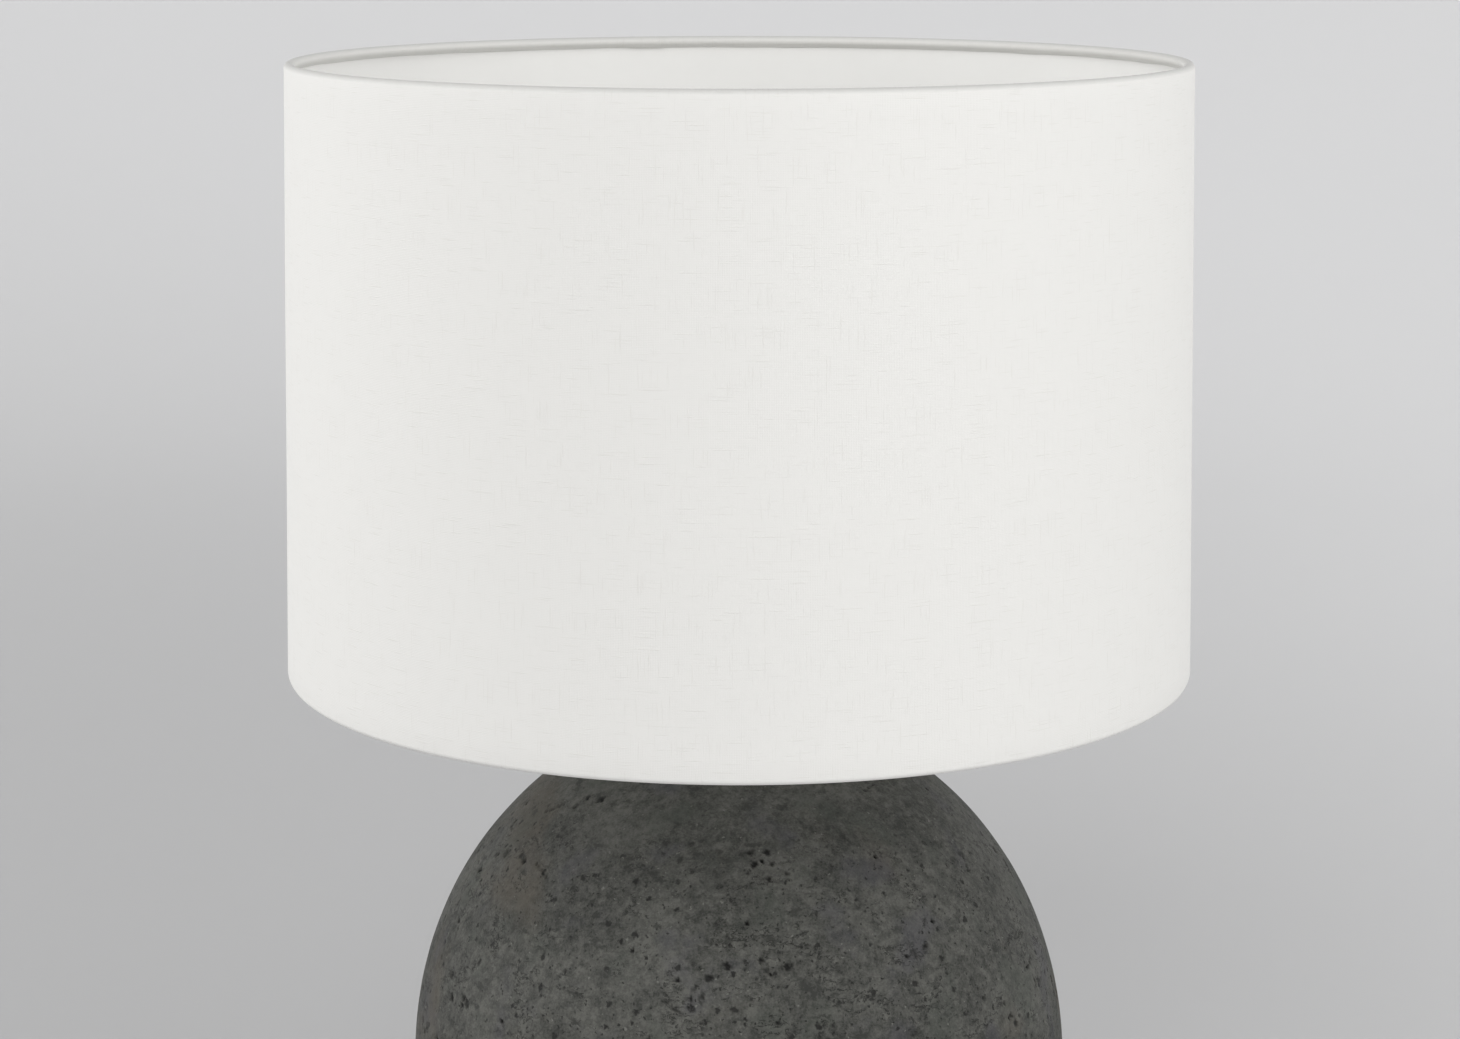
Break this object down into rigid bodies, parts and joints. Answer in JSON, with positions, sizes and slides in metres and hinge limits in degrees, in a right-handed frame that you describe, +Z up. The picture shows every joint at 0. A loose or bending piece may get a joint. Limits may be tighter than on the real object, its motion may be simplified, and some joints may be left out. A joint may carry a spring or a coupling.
{
  "type": "table lamp",
  "caption": "Table lamp with a round cast base and a slightly tapered linen drum shade on a low ring fitter, with a turn switch on the lampholder.",
  "frame": {"origin": "centre of the felt pad's underside, on the surface that the lamp stands on, on the axis of base and shade", "axes": "+Z up along the lamp's axis, -Y the front, +Y the back where the cord inlet is, +X the side of the switch knob"},
  "size_m": [0.4572, 0.457, 0.6751],
  "materials": {
    "cement": "matte",
    "linen": "matte",
    "shade_liner": "matte",
    "white_paint": "satin",
    "felt": "matte",
    "zinc_steel": "satin",
    "dark_paint": "satin",
    "brass": "satin",
    "phenolic": "satin",
    "knob_plastic": "gloss",
    "porcelain": "gloss",
    "nylon": "matte",
    "black_rubber": "matte",
    "bulb_black": "gloss",
    "bulb_metal": "satin",
    "bulb_white": "satin",
    "led_board": "matte",
    "diffuser": "matte"
  },
  "bodies": {
    "base": {"base_body": "cement", "base_foot": "cement", "felt_pad": "felt", "base_plate": "zinc_steel", "bottom_washer": "zinc_steel", "bottom_lock_washer": "zinc_steel", "bottom_nut": "zinc_steel", "threaded_tube": "zinc_steel", "cord_bush": "black_rubber", "neck_washer": "black_rubber", "vase_cap": "dark_paint", "check_ring": "dark_paint", "lock_nut": "zinc_steel", "holder_cap": "phenolic", "cap_grub_screw": "zinc_steel", "holder_body": "phenolic", "holder_insulator": "porcelain", "screw_shell": "brass", "centre_contact": "brass", "terminal_screws": "brass"},
    "shade": {"fitter_ring": "white_paint", "fitter_arm_1": "white_paint", "fitter_arm_2": "white_paint", "fitter_arm_3": "white_paint", "bottom_ring_wire": "white_paint", "top_ring_wire": "white_paint", "shade_liner": "shade_liner", "shade_cover": "linen"},
    "clamp_ring": {"shade_ring": "phenolic"},
    "switch": {"switch_cam": "nylon", "switch_spindle": "brass", "switch_knob": "knob_plastic"},
    "bulb": {"bulb_contact": "zinc_steel", "bulb_cap_insulator": "bulb_black", "bulb_screw_cap": "bulb_metal", "bulb_housing": "bulb_white", "bulb_led_board": "led_board", "bulb_diffuser": "diffuser"}
  },
  "joints": [
    {"name": "shade_swivel", "type": "hinge", "parent": "base", "child": "shade", "pos_m": [0, 0, 0.3943], "axis": [0, 0, 1], "continuous": true},
    {"name": "shade_ring_turn", "type": "hinge", "parent": "base", "child": "clamp_ring", "pos_m": [0, 0, 0.3966], "axis": [0, 0, 1], "continuous": true},
    {"name": "switch_turn", "type": "hinge", "parent": "base", "child": "switch", "pos_m": [0, 0, 0.38475], "axis": [1, 0, 0], "continuous": true},
    {"name": "bulb_turn", "type": "hinge", "parent": "base", "child": "bulb", "pos_m": [0, 0, 0.4003], "axis": [0, 0, 1], "continuous": true}
  ]
}
